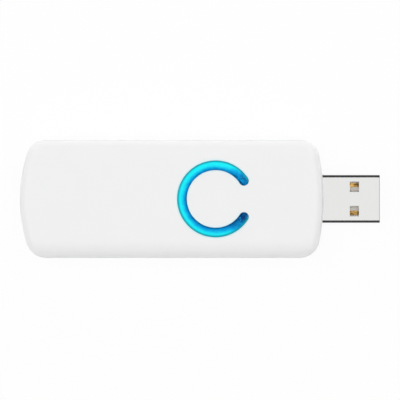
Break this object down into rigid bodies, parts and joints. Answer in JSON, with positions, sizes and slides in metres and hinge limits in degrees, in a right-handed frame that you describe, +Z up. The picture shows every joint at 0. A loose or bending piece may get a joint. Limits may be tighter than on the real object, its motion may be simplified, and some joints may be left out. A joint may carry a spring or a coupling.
{
  "type": "usb radio stick",
  "caption": "Flat white plastic stick with a USB plug at one end and a C-shaped lit ring around a press area on its top face.",
  "frame": {"origin": "on the surface the stick lies on, under the middle of its bounding box", "axes": "+X towards the plug's tip, +Z up out of the face with the ring, +Y to the left seen from behind the tail"},
  "size_m": [0.0898, 0.0294, 0.0126],
  "materials": {
    "housing_plastic": "white, fine satin texture",
    "light_plastic": "clear blue, lit from below",
    "plug_steel": "nickel plated sheet",
    "plug_insulator": "cream",
    "contact_gold": "gold plated",
    "board_laminate": "green solder mask",
    "switch_plastic": "black",
    "switch_steel": "stamped",
    "lamp_body": "white with a clear cup",
    "radio_board": "blue solder mask",
    "shield_tin": "tinned",
    "aerial_metal": "stamped and tinned",
    "chip_resin": "black moulding",
    "crystal_can": "drawn can",
    "ceramic_tan": "fired ceramic",
    "ferrite": "grey",
    "resistor_black": "glazed",
    "cell_foil": "foil pouch",
    "pad_foam": "adhesive foam",
    "tab_nickel": "nickel strap"
  },
  "bodies": {
    "stick": {"top_cover": "housing_plastic", "bottom_cover": "housing_plastic", "light_guide": "light_plastic", "plug_shell": "plug_steel", "plug_insulator": "plug_insulator", "plug_contact_1": "contact_gold", "plug_contact_2": "contact_gold", "plug_contact_3": "contact_gold", "plug_contact_4": "contact_gold", "circuit_board": "board_laminate", "switch_base": "switch_plastic", "switch_frame": "switch_steel", "switch_dome": "switch_steel", "switch_terminals": "switch_steel", "ring_lamp_1": "lamp_body", "ring_lamp_2": "lamp_body", "ring_lamp_3": "lamp_body", "radio_module": "radio_board", "radio_shield": "shield_tin", "aerial": "aerial_metal", "bridge_chip": "chip_resin", "crystal": "crystal_can", "memory_chip": "chip_resin", "charger_chip": "chip_resin", "regulator_chip": "chip_resin", "power_inductor": "ferrite", "capacitors": "ceramic_tan", "resistors": "resistor_black", "cell_pad": "pad_foam", "cell": "cell_foil", "cell_guard": "board_laminate", "tab_plus": "tab_nickel", "tab_minus": "tab_nickel"},
    "key_plunger": {"switch_plunger": "switch_plastic"}
  },
  "joints": [
    {"name": "plunger_travel", "type": "slide", "parent": "stick", "child": "key_plunger", "axis": [0, 0, -1], "range_m": [0, 0.00025], "stiffness_N_per_m": 6400, "deforming": ["switch_dome"]}
  ]
}
